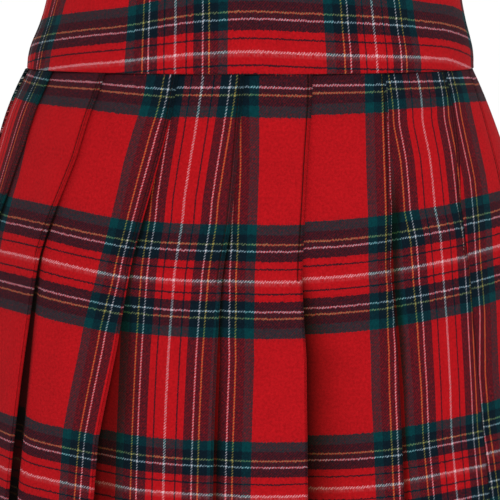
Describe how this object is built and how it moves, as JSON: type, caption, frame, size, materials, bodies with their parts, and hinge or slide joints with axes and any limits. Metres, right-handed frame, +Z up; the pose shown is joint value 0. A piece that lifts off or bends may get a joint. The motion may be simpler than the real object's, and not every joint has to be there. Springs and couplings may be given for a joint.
{
  "type": "skirt",
  "caption": "Knife-pleated checked skirt on a shaped yoke, open at waist and hem, closed by a zip at the centre back.",
  "frame": {"origin": "centre of the waist ring at the yoke's top edge, where the wearer's waist holds the skirt", "axes": "+Z up out of the waist, -Y the front, +X the wearer's left side"},
  "size_m": [0.4227, 0.3464, 0.4216],
  "materials": {
    "pleated_cloth": "brushed wool twill, red check",
    "yoke_cloth": "brushed wool twill, red check",
    "zip_tape": "woven tape",
    "zip_metal": "satin"
  },
  "bodies": {
    "garment": {"waistband_front": "yoke_cloth", "waistband_back_left": "yoke_cloth", "waistband_back_right": "yoke_cloth", "skirt_front": "pleated_cloth", "skirt_back_left": "pleated_cloth", "skirt_back_right": "pleated_cloth", "zip_tape_left": "zip_tape", "zip_tape_right": "zip_tape", "zip_slider": "zip_metal"},
    "pull": {"zip_pull": "zip_metal"}
  },
  "joints": [
    {"name": "pull_hinge", "type": "hinge", "parent": "garment", "child": "pull", "pos_m": [0, 0.09744, -0.01212], "axis": [1, 0, 0], "range_deg": [0, 150]}
  ]
}
